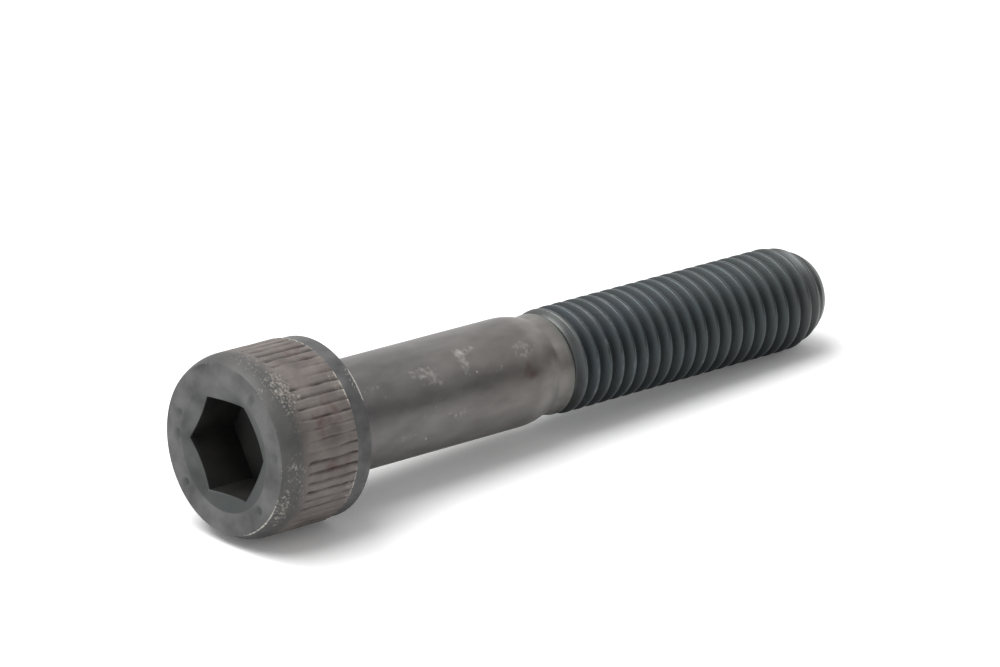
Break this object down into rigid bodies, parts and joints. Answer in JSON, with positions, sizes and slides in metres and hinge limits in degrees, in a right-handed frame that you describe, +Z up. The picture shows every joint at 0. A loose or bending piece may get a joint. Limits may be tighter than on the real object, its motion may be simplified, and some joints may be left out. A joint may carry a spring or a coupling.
{
  "type": "socket head cap screw",
  "caption": "Used black-finished socket head cap screw with a knurled round head, hexagon socket, plain shank, reduced neck and part-length coarse thread, lying on its side.",
  "frame": {"origin": "on the floor under the middle of the lying screw", "axes": "+X from head to tip along the floor, +Z up"},
  "size_m": [0.0702, 0.016, 0.0164],
  "materials": {
    "dark_steel": "worn black oxide"
  },
  "bodies": {
    "root": {"cap_screw": "dark_steel"}
  },
  "joints": []
}
